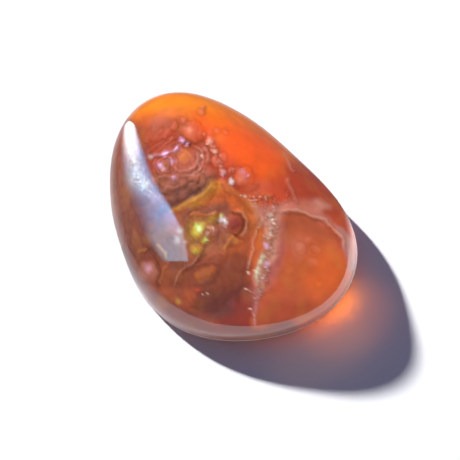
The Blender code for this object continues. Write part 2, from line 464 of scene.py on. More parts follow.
# raised ribs and drawn lines: half width in pixels, lift in millimetres, colour, strength and way
ribs = {
    "ridge, left": (3, 0.42, "ochre", 0.6, "166 213 174 210 186 204 200 196 209 188 214 181 218 178"),
    "ridge's grains": (2.2, 0.44, "sand", 0.35, "176 209 187 204 194 201 203 195 210 188 215 182"),
    "ridge, right": (3, 0.38, "gold", 0.5, "218 178 224 183 231 190 240 196 249 204 256 213 258 228"),
    "arc over the lobe": (1.5, 0.2, "veil", 0.7, "276 214 282 211.5 291 211 301 211.5 307 213 314 216 320 "
        "218 326 220.5 331 225 336 231 341 238 344 244 345.5 252"),
    "arc, broad": (3, 0.14, "haze", 0.3, "284 208.5 300 209 314 213 324 216 333 222 340 230 346 240"),
    "flank vein": (1.8, 0.12, "haze", 0.55, "283 150 287 158 291 167 295 174"),
    "flank vein 2": (1.8, 0.12, "haze", 0.4, "287 178 290 186 294 194 298 204"),
    "crack": (0.85, 0.14, "veil", 0.7, "262 220 258 229 255 238 253.5 248 252 256 250 264 248 273"),
    "crack, upper": (2.4, 0.16, "veil", 0.5, "256 204 258 212 261 220 258 230"),
    "foot crack": (0.6, 0.12, "pearl", 0.4, "249 308 252 312 255 318 257 326"),
    "foot crack 2": (0.6, 0.1, "pearl", 0.35, "245 289 250 291 256 293"),
    "foot crack 3": (1.6, 0.12, "mauve", 0.5, "258 294 257 304 256 314 257 326"),
    "strip's pale edge": (1.5, 0.18, "mint", 0.5, "264 251 261 259 258 268 256.5 276 257 284"),
    "knob's rim": (1.3, 0.26, "veil", 0.38, "234 210 241 212 246 218 247.5 225 245 233 240 238"),
    "bump's rim": (0.8, 0.28, "haze", 0.5, "175 288 176 282 178 276 183 270 190 264 196 258 201 253"),
    "bump's rim 2": (1, 0.26, "gold", 0.4, "160 286 162 276 165 268 169 261"),
    # painted highlight: the lit top of the great brown bump, as soft orange strokes
    "painted highlight on the bump": (3, 0.26, "sandstone", 0.6, "195 280 199 273 204 270 210 269 216 269"),
    "painted highlight on the bump 2": (5, 0.26, "sandstone", 0.45, "196 280 202 276 210 273 213 274"),
    "red patch": (3.5, 0.34, "brick", 0.4, "194 292 198 289 201 292"),
    "wedge rib": (2.6, 0.38, "violet", 0.7, "147 158 155 155 164 153 171 151 177 148 181 145"),
    "scale edge 1": (1.2, 0.3, "haze", 0.35, "156 181 162 177 168 176 174 178 180 176"),
    "scale edge 2": (1.1, 0.24, "haze", 0.3, "162 191 168 186 176 187 182 184 188 181"),
    "scale edge 3": (1.1, 0.2, "haze", 0.3, "186 176 192 174 199 175 206 172"),
    "scale edge 4": (1.1, 0.18, "cocoa", 0.4, "186 193 191 188 198 187 204 183 209 179"),
    "scale edge 5": (1.1, 0.18, "cocoa", 0.4, "164 202 170 197 178 196 184 192"),
    "ring 1": (1.6, 0.3, "haze", 0.28, "172 168 178 170 186 170 194 167 198 160 196 151"),
    "ring 2": (1.6, 0.2, "haze", 0.25, "176 174 186 175 196 172 203 165 204 154"),
    "eye's upper rib": (2.2, 0.32, "sandstone", 0.6, "186 217 192 215 200 214.5 209 215.5 218 214"),
    "fold 1": (3, 0.14, "ember", 0.3, "178 121 173 127 168 133 163 139"),
    "fold 2": (3.2, 0.12, "russet", 0.4, "166 129 158 136 150 141"),
    "fold 3": (2.6, 0.12, "rust", 0.3, "176 137 167 145 158 151"),
    "fold 4": (2.6, 0.12, "rust", 0.3, "152 129 147 136 145 144"),
    "wrinkle 1": (1.5, 0.18, "haze", 0.4, "197 146 201 152 202 160"),
    "wrinkle 2": (1.5, 0.18, "haze", 0.4, "203 144 207 151 208 160"),
    "wrinkle 3": (1.5, 0.16, "haze", 0.35, "196 151 199 158 198 166"),
    "chip": (1.2, 0.16, "ochre", 0.45, "136 254 141 251 148 248"),
    "chip 2": (1.2, 0.16, "sand", 0.55, "155 243 160 248 164 253 167 259"),
    "slot's edge": (2, 0.26, "gold", 0.7, "224 253 226 248 228 243 231 239 236 236"),
    "fold over the bump": (1.3, 0.26, "chestnut", 0.6, "186 273 192 266 200 263 210 263 220 260"),
    "fold over the bump 2": (1.6, 0.24, "sienna", 0.6, "204 262 209 257 216 254 222 254 227 258"),
    "beige wrinkle 1": (1.2, 0.2, "veil", 0.7, "245 198 251 200 258 200"),
    "beige wrinkle 2": (1.2, 0.2, "veil", 0.7, "248 203 252 204 257 204"),
    "beige wrinkle 3": (1.1, 0.2, "veil", 0.6, "250 206 254 207 258 208"),
}

# rows of small beads: how many, radius and spread in pixels, lift in millimetres, strength, colours and way
beadRows = {
    "sparkling strip": (230, 1.2, 6, 0.08, 0.45, "veil haze gold veil pearl haze brick", "272 212 274 222 "
        "272 234 270 246 269 257 265 268 262 280 261 292"),
    "strip's foot": (20, 1.1, 3, 0.16, 0.4, "veil haze ochre", "261 288 257 298 254 308"),
    "row under the lilac bump": (18, 1.1, 1.8, 0.22, 0.5, "veil ember pearl", "240 195 248 196 257 196 266 "
        "198 274 196"),
    "dotted red": (60, 0.9, 8, 0.12, 0.3, "haze veil ember", "256 198 268 202 280 200 290 196"),
    "bubble row": (26, 1.6, 3.5, 0.14, 0.45, "haze veil ember", "205 134 209 144 214 154 219 164 224 173 "
        "232 182"),
    "by the lilac bump": (10, 1.6, 4, 0.26, 0.5, "haze lilac ember", "232 174 240 170 248 174"),
    "dots over the lobe": (24, 1, 5, 0.12, 0.35, "veil haze", "260 208 268 214 266 228"),
}

# painted shade along the deep lines between the growths: half width in pixels, strength and way
creaseShade = {
    "under the slope": (3, 0.35, "160 212 172 206 184 200 196 193 206 186 211 180 215 176"),
    "knob": (1.8, 0.5, "232 213 238 214 243 219 244 226 241 233 236 236"),
    "left of the lobe": (2.2, 0.15, "286 224 283 236 282 250 278 266"),
    "under the arc": (2, 0.12, "280 216 292 213 304 214 314 219 326 228 335 237 341 246"),
    "dark beside the crack": (2.4, 0.15, "247 262 244 276 240 288 238 300"),
    "below the large bubble": (2, 0.3, "182 137 188 142 196 143 203 140"),
    "below the lilac bump": (2, 0.2, "236 190 241 192 248 192 254 190 258 186"),
    "foot crease": (1.6, 0.35, "205 255 198 259 190 267 184 274"),
    "under the bump's highlight": (2.5, 0.3, "196 286 206 284 216 278 219 270"),
    "rose bump's side": (2, 0.4, "158 264 160 274 158 286"),
}

# small shining spots, painted highlights and glowing flashes of fire colour with a few pale mottles: x, y and
# radius in pixels, colour, shine
paintedGlints = {
    "eye's green": (200, 227.5, 5, "lime", 0.75), "eye's heart": (200, 228, 2.4, "mint", 0.7),
    "eye's upper right": (204, 224, 3, "lemon", 0.3), "eye's yellow": (195.5, 232, 4.6, "lemon", 0.65),
    "eye's lower green": (206, 238.5, 2.4, "lime", 0.8),
    "eye's lower yellow": (202.5, 240.5, 2.6, "lemon", 0.4),
    "eye's streaks": (212, 219, 3.4, "lemon", 0.16), "eye's rose": (207, 233, 1.7, "pearl", 0.4),
    "eye's rose 2": (213.5, 229, 1.6, "pearl", 0.5), "eye's rose 3": (209, 228, 1.6, "veil", 0.5),
    "pearl spot": (223.5, 221, 4, "ice", 0.7), "pearl spot 2": (225.5, 223, 2.8, "ice", 0.45),
    "pearl spot's green": (221, 216.5, 2.2, "lime", 0.6), "yellow bump": (193.5, 250, 3.2, "lemon", 0.42),
    "yellow bump 2": (198, 251, 2.8, "lemon", 0.35), "yellow bump 3": (193, 245.5, 2.4, "gold", 0.5),
    "yellow bump 4": (199, 247, 2.8, "amber", 0.3), "window gold": (213, 215, 2.6, "ochre", 0.4),
    "window gold 2": (210, 220, 2, "ochre", 0.3), "apex gold": (214, 186, 2.4, "ochre", 0.5),
    "ridge gold": (194, 201, 2.6, "ochre", 0.4), "channel orange": (233, 198, 2.6, "orange", 0.3),
    "large bubble": (188.5, 130, 4.4, "veil", 0.22), "violet wedge": (181, 140, 3, "lilac", 0.6),
    "violet wedge 2": (188, 144.5, 2, "lilac", 0.5), "rose spot": (176, 149, 1.8, "lilac", 0.6),
    "violet spot": (164.5, 153.5, 3.2, "lilac", 0.6), "left spot": (151, 157, 2.4, "pearl", 0.5),
    "violet button": (160, 166, 2.2, "lilac", 0.8), "violet button 2": (163, 169, 1.8, "pearl", 0.4),
    "rose button": (173, 163, 2.3, "lilac", 0.5), "scale's top": (173, 178, 2.4, "lilac", 0.4),
    "long bubble": (208.5, 141, 3.2, "pearl", 0.25), "white bubble": (215, 153, 2, "pearl", 0.4),
    "row spot": (201, 155, 1.6, "pearl", 0.3), "white bead": (222, 173, 2.2, "lilac", 0.45),
    "bright bead": (231.5, 182.5, 3.2, "ice", 0.55), "lilac bump": (243, 172, 3.4, "lilac", 0.3),
    "lilac bump 2": (242, 180, 3.8, "veil", 0.3), "crack's white": (249, 274, 1.5, "pearl", 0.9),
    "crack's white 2": (247, 290, 1.2, "pearl", 0.5), "crack's white 3": (250, 309, 1.2, "pearl", 0.5),
    "strip's gold": (270, 215.5, 2.2, "pearl", 0.6), "strip's white 1": (273, 219.5, 1.7, "pearl", 0.9),
    "strip's white 2": (273.4, 223.5, 1.6, "pearl", 0.9), "strip's upper": (262, 219.5, 1.8, "veil", 0.5),
    "strip's pearl": (269.5, 233, 2.6, "pearl", 0.6), "strip's pearl 2": (270, 228.5, 1.5, "pearl", 0.4),
    "strip's rose": (266.8, 245, 2.6, "lilac", 0.7), "strip's green": (263.2, 256.5, 2.2, "mint", 0.6),
    "strip's green 2": (261, 260.5, 2.4, "mint", 0.55), "strip's green 3": (258.5, 268, 1.9, "mint", 0.5),
    "strip's green 4": (257, 272.5, 2.3, "mint", 0.5), "strip's green 5": (256, 277, 1.7, "mint", 0.4),
    "strip's lilac": (267.5, 262, 2.6, "lilac", 0.5), "strip's lilac 2": (266, 266, 2.2, "lilac", 0.5),
    "strip's ring": (274, 258.5, 2.6, "veil", 0.35), "strip's foot": (264, 288, 3.4, "veil", 0.35),
    "rose bump": (148.5, 268, 4, "lilac", 0.45), "foot green": (177, 302, 3.2, "lemon", 0.25),
    "foot glint": (203.5, 293, 0.8, "pearl", 0.7), "foot glint 2": (207.5, 293, 0.8, "pearl", 0.7),
    "foot red": (197.5, 290, 2, "ember", 0.25), "streak's sparkle": (145.5, 184.5, 3.4, "mint", 0.35),
    "slot pearl": (181, 231, 4.2, "ice", 0.34), "slot pearl 2": (178, 240, 4.4, "ice", 0.34),
    "slot pearl 3": (186, 243, 1.6, "pearl", 0.4), "lobe's spot 1": (301, 247, 4, "veil", 0.22),
    "lobe's spot 2": (316, 248, 3.2, "veil", 0.12), "lobe's spot 3": (312, 262, 4.6, "veil", 0.14),
    "lobe's spot 4": (289, 270, 4.6, "gold", 0.2), "lobe's spot 5": (318, 284, 3, "amber", 0.2),
    "lobe's spot 6": (308, 239, 3, "haze", 0.2),
}

# rough ground: softness in pixels, strength and outline
roughGround = {
    "crown's foot": (10, 0.28, "110 130 130 120 160 118 186 128 206 146 190 156 150 156"),
    "brown half": (9, 0.6, "96 150 130 150 160 150 186 150 208 154 220 168 226 178 240 192 252 204 252 222 "
        "240 246 206 256 180 254 150 262 110 250 92 190"),
    "lower brown half": (9, 0.3, "100 240 150 250 206 250 244 246 250 266 244 296 226 316 190 320 150 300 "
        "110 270"),
    "sparkling strip": (4, 0.5, "266 212 276 212 279 226 278 246 274 262 268 276 264 290 257 304 252 304 "
        "252 286 254 270 259 254 263 236 264 222"),
    "bead row": (5, 0.5, "204 134 216 138 224 156 236 168 252 168 258 184 244 194 226 184 212 168 204 150"),
}

# the inner growth layer, a closed body under the skin; sizes in millimetres, wander and warp in pixels
layer = {
    "columns": 560,
    "domeRows": 150,
    "wallRows": 12,
    "lastRing": 1.96,
    "depth": 0.85,
    "wallDepth": 0.22,
    "depthFadesFrom": 0.74,
    "backGap": 0.12,
    "wander": 5.0,
    "warp": 3.0,
    "grain": 1.15,
    "fineGrain": 0.5,
    "grainLift": 0.16,
    "fineLift": 0.04,
    # painted shade round each bump's foot, and its width in pixels
    "bumpEdgeShade": 0.14,
    "bumpEdgeShadeWidth": 1.8,
    # painted shade round each bead's foot and its width in pixels, then the painted highlight on bead tops
    "beadEdgeShade": 0.25,
    "beadEdgeShadeWidth": 0.7,
    "beadHighlight": 0.3,
    # painted glow: emission in the layer's own painted colours stands in for light passing through the
    # translucent stone, and shineGlow adds more on the painted highlights
    "glow": 0.45,
    "shineGlow": 0.5,
    "surface": 0.62,
    "brightest": 0.95,
}


def cap(distance, radius):
    # a round bump's height from 0 to 1, with a soft foot: one less the square of the distance, to a power
    return (1 - np.clip(distance / (1.1 * radius), 0, 1) ** 2) ** 1.5


def beadsOf(row):
    # seeded beads along a way: places, sizes and colours
    count, radius, spread, lift, strength, names, way = row
    random = np.random.default_rng(count)
    places = evenly(way, np.sort(random.random(count)))
    places = places + random.normal(0, 0.45, (count, 2)) * spread
    sizes = radius * random.uniform(0.6, 1.5, count)
    names = names.split()
    return places, sizes, [names[i] for i in random.integers(0, len(names), count)]


def groundMask(x, y, points, front):
    # 1 on rough ground: the outlined places where the camera sees them, and clouds of it on the far side
    mask = np.zeros(x.shape)
    for soft, strength, outline in roughGround.values():
        mask = np.maximum(mask, strength * filled(x, y, outline, soft))
    return front * mask + (1 - front) * softStep(0.42, 0.6, cloud(points, 4.5, 151))


def seen(x, y, points, front):
    # what the painting and the relief need of each point, with two wandering copies of its pixel
    shift = [2 * cloud(points, 1.3, salt) - 1 for salt in (31, 41)]
    small = [2 * cloud(points, 0.7, salt) - 1 for salt in (131, 141)]
    return {
        "x": x + layer["warp"] * small[0],
        "y": y + layer["warp"] * small[1],
        "fieldX": x + layer["wander"] * shift[0],
        "fieldY": y + layer["wander"] * shift[1],
        "points": points,
        "front": front,
        "rough": groundMask(x, y, points, front),
        "coarse": grains(points, layer["grain"], 11),
        "fine": grains(points + 0.12 * np.stack(small + shift[:1], axis=-1), layer["fineGrain"], 23),
    }


def growthRelief(at):
    # lift over the base depth: the highest of bumps, ribs, beads and coarse grain, with fine grain on top,
    # half as high on the first three
    x, y = at["x"], at["y"]
    lift = np.zeros(len(x))
    for px, py, radius, height, name, strength in bumps.values():
        lift = np.maximum(lift, height * cap(np.hypot(x - px, y - py), radius))
    for half, height, name, strength, way in ribs.values():
        distance, along = chainDistance(x, y, rounded(way))
        ends = softStep(0, 0.12, along) * softStep(0, 0.12, 1 - along)
        lift = np.maximum(lift, height * ends * cap(distance, half * 1.6))
    for row in beadRows.values():
        for (px, py), size, name in zip(*beadsOf(row)):
            lift = np.maximum(lift, row[3] * cap(np.hypot(x - px, y - py), size))
    lift *= at["front"]
    near, second, number = at["coarse"]
    coarse = at["rough"] * layer["grainLift"] * (0.5 + number) * (1 - np.clip(near / 0.75, 0, 1) ** 2)
    near, second, number = at["fine"]
    fine = at["rough"] * layer["fineLift"] * (0.4 + number) * (1 - np.clip(near / 0.75, 0, 1) ** 2)
    return np.maximum(lift, coarse) + fine * (1 - 0.5 * (lift > coarse))


def farColours(points):
    # the side that the camera doesn't see: rust and brown with orange clouds
    colours = np.tile(ink("rust"), (len(points), 1))
    colours = tinted(colours, "orange", softStep(0.46, 0.62, cloud(points, 5.0, 51)))
    return tinted(colours, "chestnut", softStep(0.45, 0.7, cloud(points, 3.0, 61)))


def grainShade(grain, rough, soft, edgeShade, contrast):
    # painted shade where two grains meet, and a tone of its own for each grain
    near, second, number = grain
    edge = softStep(0.0, soft, second - near)
    return (1 - rough * (edgeShade * (1 - edge) + contrast * (number - 0.5)))[:, None]


def growthPaint(at):
    # each point's colour and painted shine: fields, grain, bumps, rings, ribs, beads, creases, glints, in
    # that order; grain, bump and bead edges and creases get painted shade, beads and glints painted
    # highlights
    x, y, points, front, rough = (at[name] for name in ("x", "y", "points", "front", "rough"))
    colours = np.tile(ink("brick"), (len(x), 1))
    for name, soft, strength, outline in fields.values():
        colours = tinted(colours, name, strength * filled(at["fieldX"], at["fieldY"], outline, soft))
    far = farColours(points)
    colours = far + (colours - far) * front[:, None]
    colours *= (0.84 + 0.32 * cloud(points, 0.9, 71))[:, None]
    colours = tinted(colours, "ochre", 0.16 * front * softStep(0.5, 0.75, cloud(points, 1.7, 171)))

    colours *= grainShade(at["coarse"], rough, 0.30, 0.22, 0.20)
    near, second, number = at["coarse"]
    fire = rough * softStep(0.6, 0.1, near)
    for low, name in ((0.50, "violet"), (0.66, "gold"), (0.82, "ochre")):
        colours = tinted(colours, name, 0.24 * fire * (number > low) * (number < low + 0.16))
    colours *= grainShade(at["fine"], rough, 0.35, 0.14, 0.16)

    for px, py, radius, height, name, strength in bumps.values():
        distance = np.hypot(x - px, y - py) / radius
        colours = tinted(colours, name, front * strength * softStep(1.0, 0.3, distance))
        # painted shade: a dark ring round the foot of each strong bump
        if strength > 0.15:
            rim = np.exp(-(((distance - 1.0) * radius / layer["bumpEdgeShadeWidth"]) ** 2))
            colours *= (1 - layer["bumpEdgeShade"] * front * rim)[:, None]
    for px, py, first, last, spacing, strength in ringSets.values():
        distance = np.hypot(x - px, y - py)
        wave = np.cos(2 * np.pi * distance / spacing)
        mask = front * softStep(first - 2, first, distance) * softStep(last + 3, last - 3, distance)
        colours *= (1 + strength * wave * mask)[:, None]
    broken = 0.55 + 0.9 * cloud(points, 0.6, 161)
    for half, height, name, strength, way in ribs.values():
        distance, along = chainDistance(x, y, rounded(way))
        ends = softStep(0, 0.1, along) * softStep(0, 0.1, 1 - along)
        colours = tinted(colours, name, front * ends * strength * broken * softStep(half * 1.6, 0, distance))
    shine = np.zeros(len(x))
    for row in beadRows.values():
        strength = row[4] * front
        for (px, py), size, name in zip(*beadsOf(row)):
            distance = np.hypot(x - px, y - py) / size
            # painted shade in a ring round each bead's foot, and a painted highlight on its top
            rim = np.exp(-(((distance - 1.1) * size / layer["beadEdgeShadeWidth"]) ** 2))
            colours *= (1 - layer["beadEdgeShade"] * strength * rim)[:, None]
            colours = tinted(colours, name, strength * softStep(1.3, 0.1, distance))
            shine = np.maximum(shine, layer["beadHighlight"] * strength * softStep(0.9, 0.1, distance))
    # painted shade: darker along each crease
    for half, strength, way in creaseShade.values():
        distance = chainDistance(x, y, rounded(way))[0]
        colours *= (1 - front * strength * softStep(half * 1.8, 0, distance))[:, None]
    ragged = 1.2 * (cloud(points, 0.35, 91) - 0.5)
    # painted highlights: each glint tints the colour and adds painted shine, which glows and makes the spot
    # partly metal
    for px, py, radius, name, strength in paintedGlints.values():
        mask = front * softStep(1.6, 0.0, np.hypot(x - px, y - py) / radius + ragged)
        colours = tinted(colours, name, strength * mask)
        shine = np.maximum(shine, strength * mask)
    return colours, shine


def setColour(mesh, name, values):
    # one linear colour for each vertex, under a name that a material reads
    data = np.ones((len(mesh.vertices), 4), dtype=np.float32)
    data[:, :3] = values
    mesh.attributes.new(name, "FLOAT_COLOR", "POINT").data.foreach_set("color", data.ravel())


def growthBody(material):
    # rings of skin points moved in along the refracted view, so that each shows at its skin point's pixel
    angle = np.linspace(0, 2 * np.pi, layer["columns"], endpoint=False)
    down = np.concatenate([np.linspace(0, 1, layer["domeRows"] + 1)[1:],
                           np.linspace(1, 2, layer["wallRows"] + 1)[1:-1], [layer["lastRing"]]])
    angle, down = np.meshgrid(angle, down)
    shape = down.shape
    skinPoints, normal = (surface(angle, down).reshape(-1, 3) for surface in (stoneSurface, stoneNormal))
    x, y, facing, inward = throughSkin(skinPoints, normal)
    fade = softStep(layer["depthFadesFrom"], 1.0, down.ravel())
    depth = layer["depth"] + (layer["wallDepth"] - layer["depth"]) * fade
    squarely = -(inward * normal).sum(axis=1)
    base = skinPoints + inward * (depth / squarely)[:, None]
    at = seen(x, y, base, softStep(-0.45, 0.0, facing))
    lift = growthRelief(at) * depth / layer["depth"]
    points = skinPoints + inward * ((depth - lift) / squarely)[:, None]
    points[:, 2] = np.maximum(points[:, 2], layer["backGap"])
    colours, shine = growthPaint(at)
    rings = points.reshape(*shape, 3)
    edge = rings[-1]
    middle = edge.mean(axis=0)
    inner = [middle + (edge - middle) * share for share in (0.75, 0.5, 0.25)]
    rings = np.concatenate([rings, np.stack(inner)])
    summit = rings[0].mean(axis=0)
    obj = closedMesh("growthLayer", rings, summit, middle, material)
    extra = len(inner) * layer["columns"]
    colours = np.vstack([colours, np.tile(ink("brick"), (extra, 1)), colours[:1], ink("brick")])
    shine = np.concatenate([shine, np.zeros(extra + 2)])
    setColour(obj.data, "paint", np.minimum(colours * layer["surface"], layer["brightest"]))
    # painted glow: emission in the painted colours, for light through the stone, stronger on the painted
    # highlights
    setColour(obj.data, "glow", colours * (layer["glow"] + layer["shineGlow"] * shine)[:, None])
    setColour(obj.data, "shine", np.tile(shine[:, None], 3))
    return obj


# the polished skin: clear chalcedony
skin = {"columns": 400, "domeRows": 170, "wallRows": 14, "backRows": 6, "roughness": 0.03, "sharpEdge": 35}


def polishedSkin(material):
    # the form itself, as rings over the dome, the under-wall and the flat back
    angle = np.linspace(0, 2 * np.pi, skin["columns"], endpoint=False)
    rows = (skin["domeRows"], skin["wallRows"], skin["backRows"])
    down = [np.linspace(i, i + 1, count + 1)[1:] for i, count in enumerate(rows)]
    rings = stoneSurface(*np.meshgrid(angle, np.concatenate(down)[:-1]))
    poles = stoneSurface(np.zeros(2), np.array([0.0, 3.0]))
    obj = closedMesh("polishedSkin", rings, poles[0], poles[1], material)
    obj.data.set_sharp_from_angle(angle=math.radians(skin["sharpEdge"]))
    return obj


def newMaterial(name):
    # a material with its nodes and links
    material = bpy.data.materials.new(name)
    material.use_nodes = True
    return material, material.node_tree.nodes, material.node_tree.links


def setInputs(node, values):
    # values of a node's inputs, by their names
    for name, value in values.items():
        node.inputs[name].default_value = value


def clearChalcedony():
    # clear stone with a polish: plain transmission and a low roughness
    material, nodes, links = newMaterial("clearChalcedony")
    setInputs(nodes["Principled BSDF"], {
        "Base Color": (1.0, 1.0, 1.0, 1.0),
        "Transmission Weight": 1.0,
        "IOR": optics["index"],
        "Roughness": skin["roughness"],
    })
    return material


# the growth layer's finish: painted colour and painted glow, a fine grain, and spots of painted highlight
# that shine like metal
growthFinish = {
    "shader": {"Roughness": 0.42, "Specular IOR Level": 0.08, "Emission Strength": 1.0},
    "grain": {"Scale": 2600.0, "Detail": 4.0},
    "relief": {"Distance": 0.00004, "Strength": 0.35},
    "metalOnShine": 0.5,
}


def growthMaterial():
    # the painted colour, its painted glow, and metal by the painted shine; a fine noise roughens the normal
    material, nodes, links = newMaterial("growthLayer")
    shader = nodes["Principled BSDF"]
    setInputs(shader, growthFinish["shader"])
    metal = nodes.new("ShaderNodeMath")
    metal.operation = "MULTIPLY"
    metal.inputs[1].default_value = growthFinish["metalOnShine"]
    links.new(metal.outputs["Value"], shader.inputs["Metallic"])
    for attribute, output, socket in (("paint", "Color", shader.inputs["Base Color"]),
                                      ("glow", "Color", shader.inputs["Emission Color"]),
                                      ("shine", "Fac", metal.inputs[0])):
        node = nodes.new("ShaderNodeAttribute")
        node.attribute_name = attribute
        links.new(node.outputs[output], socket)
    place = nodes.new("ShaderNodeTexCoord")
    noise = nodes.new("ShaderNodeTexNoise")
    setInputs(noise, growthFinish["grain"])
    bump = nodes.new("ShaderNodeBump")
    setInputs(bump, growthFinish["relief"])
    links.new(place.outputs["Object"], noise.inputs["Vector"])
    links.new(noise.outputs["Fac"], bump.inputs["Height"])
    links.new(bump.outputs["Normal"], shader.inputs["Normal"])
    return material


growthLayer = growthBody(growthMaterial())
polished = polishedSkin(clearChalcedony())
print("stone built")


# what the polish mirrors: a dim sky, and the pale floor where the view grazes the stone, more so at the left
mirrored = {
    "sky": (0.13, 0.12, 0.13),
    "floor": (0.62, 0.58, 0.60),
    "from": 0.86,
    "to": 0.98,
    "left": 0.2,
}


def rimAxis():
    # the way the camera looks, leant to the left
    back, right, up = cameraAxes()
    return (-back - mirrored["left"] * right).normalized()


def mirroredLight(directions):
    # from the sky's colour to the floor's, as the direction nears the rim's axis
    sky, floor = np.array(mirrored["sky"]), np.array(mirrored["floor"])
    share = (directions @ np.array(rimAxis()) - mirrored["from"]) / (mirrored["to"] - mirrored["from"])
    return sky + (floor - sky) * np.clip(share, 0, 1)[:, None]


# Two cards hang round the stone, which only the polish mirrors. The first is laid out by its mirror image.
# The search for a pixel's place on the skin: size of the table, rounds of Newton's method and their limits.
search = {
    "angles": 180,
    "downs": 90,
    "rounds": 8,
    "step": 1e-4,
    "flattest": 50,
    "angleStep": 0.1,
    "downStep": 0.05,
}


def skinAt(x, y):
    # the place on the skin under each pixel: the nearest of a table of places, then Newton's method
    angle, down = np.meshgrid(np.linspace(0, 2 * np.pi, search["angles"], endpoint=False),
                              np.linspace(0.03, 1.0, search["downs"]))
    angle, down = angle.ravel(), down.ravel()
    tableX, tableY, facing = throughSkin(stoneSurface(angle, down), stoneNormal(angle, down))[:3]
    angle, down, tableX, tableY = (values[facing > 0.02] for values in (angle, down, tableX, tableY))
    nearest = [np.argmin((tableX - px) ** 2 + (tableY - py) ** 2) for px, py in zip(x, y)]
    angle, down = angle[nearest], down[nearest]

    def miss(angle, down):
        # how many pixels a place on the skin is off
        hereX, hereY = throughSkin(stoneSurface(angle, down), np.zeros((len(angle), 3)))[:2]
        return np.stack([hereX - x, hereY - y])

    step = search["step"]
    for turn in range(search["rounds"]):
        here = miss(angle, down)
        (a, c), (b, d) = (miss(angle + step, down) - here) / step, (miss(angle, down + step) - here) / step
        flat = a * d - b * c
        flat = np.where(np.abs(flat) < search["flattest"], search["flattest"] * np.sign(flat + 1e-9), flat)
        turned, lowered = (d * here[0] - b * here[1]) / flat, (a * here[1] - c * here[0]) / flat
        angle = angle - np.clip(turned, -search["angleStep"], search["angleStep"])
        down = np.clip(down - np.clip(lowered, -search["downStep"], search["downStep"]), 0.005, 1.3)
    return angle, down


def stageMesh(name, points, cells, light):
    # a grid of points with an emission painted on them, seen only in mirrors
    corner = (np.arange(cells[0] - 1)[:, None] * cells[1] + np.arange(cells[1] - 1)).ravel()
    quads = np.stack([corner, corner + 1, corner + cells[1] + 1, corner + cells[1]], axis=-1)
    mesh = bpy.data.meshes.new(name)
    mesh.from_pydata((points * metresPerMm).tolist(), [], quads.tolist())
    setColour(mesh, "light", light)
    material, nodes, links = newMaterial(name)
    nodes.remove(nodes["Principled BSDF"])
    glow = nodes.new("ShaderNodeEmission")
    colour = nodes.new("ShaderNodeAttribute")
    colour.attribute_name = "light"
    links.new(colour.outputs["Color"], glow.inputs["Color"])
    links.new(glow.outputs["Emission"], nodes["Material Output"].inputs["Surface"])
    mesh.materials.append(material)
    material.cycles.emission_sampling = "NONE"
    obj = addObject(name, mesh)
    obj.visible_camera = obj.visible_diffuse = obj.visible_transmission = obj.visible_shadow = False


# the long window of light at the left, white hot at the top, glittering below it, then sky blue
streak = {
    "left": "125 118 121 135 119 158 121 182 128 204 136 224 147 244 162 262",
    "right": "134 118 139 134 147 156 155 176 163 191 171 205 180 222 186 238 190 262",
    "reach": 60.0,
    "floorGap": 0.25,
    "cells": (230, 60),
    "white": (1.35, 1.35, 1.40),
    "glitter": (0.46, 0.66, 0.84),
    "sky": (0.12, 0.32, 0.60),
    "foot": (0.11, 0.21, 0.28),
    "grain": 1.5,
    "sparkle": 1.1,
    "top": 120,
    "rows": {
        "blue": (178, 204),
        "blueAtRight": (122, 140),
        "foot": (212, 236),
        "wideWhite": (165, 125),
        "white": (172, 136),
        "glitter": (128, 150),
        "glitterEnds": (225, 190),
        "softer": (130, 155),
        "softest": (180, 200),
        "softNoMore": (212, 240),
        "crisp": (180, 215),
    },
}


def streakLight(x, y, s, t):
    # white at the top, then glitter at the left and sky blue at the right and below, grey blue at the foot.
    # The left side fades, the right side is crisp and the top is round. x and y are pixels, and s and t go
    # from 0 to 1 down the streak and across it. Each change is a soft step between two rows of pixels.
    white, glitter, sky, foot = (np.array(streak[name]) for name in ("white", "glitter", "sky", "foot"))
    change = {name: softStep(*rows, y) for name, rows in streak["rows"].items()}
    bluer = np.maximum(change["blue"], softStep(0.55, 0.85, t) * change["blueAtRight"])
    light = glitter + (sky - glitter) * bluer[:, None]
    light = light + (foot - light) * change["foot"][:, None]
    core = np.exp(-(((t - 0.42) / (0.2 + 0.25 * change["wideWhite"])) ** 2))
    light = light + (white - light) * (change["white"] * core)[:, None]
    points = np.stack([x, y, 0 * x], axis=-1)
    turned = np.stack([0.8 * x + 0.6 * y, 0.8 * y - 0.6 * x, 0 * x], axis=-1)
    grain = hashed(np.floor(turned / streak["grain"]).astype(np.int64), 5) ** 2
    where = change["glitter"] * change["glitterEnds"] * (1 - 0.6 * bluer) * softStep(0.1, 0.5, t)
    grain = streak["sparkle"] * grain + 0.3 * cloud(points, 2.5, 101, octaves=2)
    light = light * (1 + where * (grain - 0.48))[:, None]
    light = light * (0.8 + 0.4 * cloud(points, 9.0, 111))[:, None]
    full = 0.3 + 0.25 * change["softer"] + 0.3 * change["softest"] - 0.55 * change["softNoMore"]
    fade = softStep(0, full, t) * softStep(1.0, 0.75 + 0.15 * change["crisp"], t)
    fade = fade * softStep(0, 3, y - streak["top"] - 6 * (2 * t - 1) ** 2) * softStep(1, 0.985, s)
    return light, fade[:, None]


